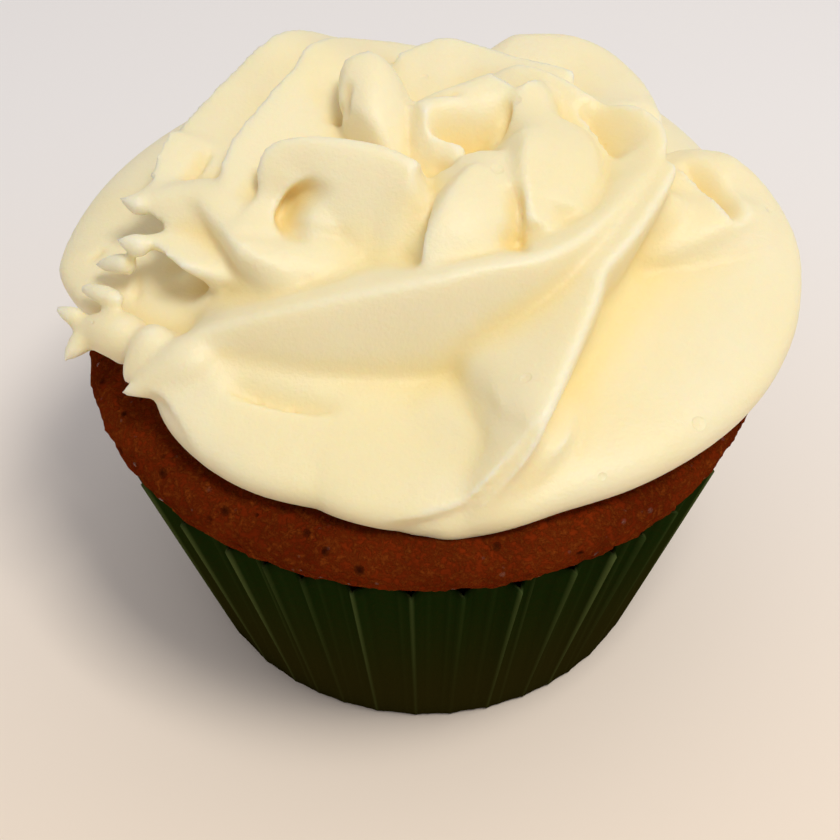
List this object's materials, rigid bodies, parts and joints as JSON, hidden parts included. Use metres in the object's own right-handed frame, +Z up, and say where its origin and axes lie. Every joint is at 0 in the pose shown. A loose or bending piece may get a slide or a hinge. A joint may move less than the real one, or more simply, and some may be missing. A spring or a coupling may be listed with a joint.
{
  "type": "frosted cupcake",
  "caption": "Round cake with a muffin-top rim in a pleated paper case, topped with a piped swirl of cream frosting, to stand on a flat surface as prepared food.",
  "frame": {"origin": "middle of the paper case's flat base, on the surface it stands on", "axes": "+Z up along the case's axis, -Y towards the front of the cupcake as the picture shows it, +X to its right"},
  "size_m": [0.0778, 0.0736, 0.0627],
  "materials": {
    "frosting_cream": "soft satin cream frosting",
    "cake_crumb": "red-brown baked crumb, matt",
    "green_paper": "dark green greaseproof paper"
  },
  "bodies": {
    "root": {"frosting": "frosting_cream", "cake": "cake_crumb", "paper_case": "green_paper"}
  },
  "joints": []
}
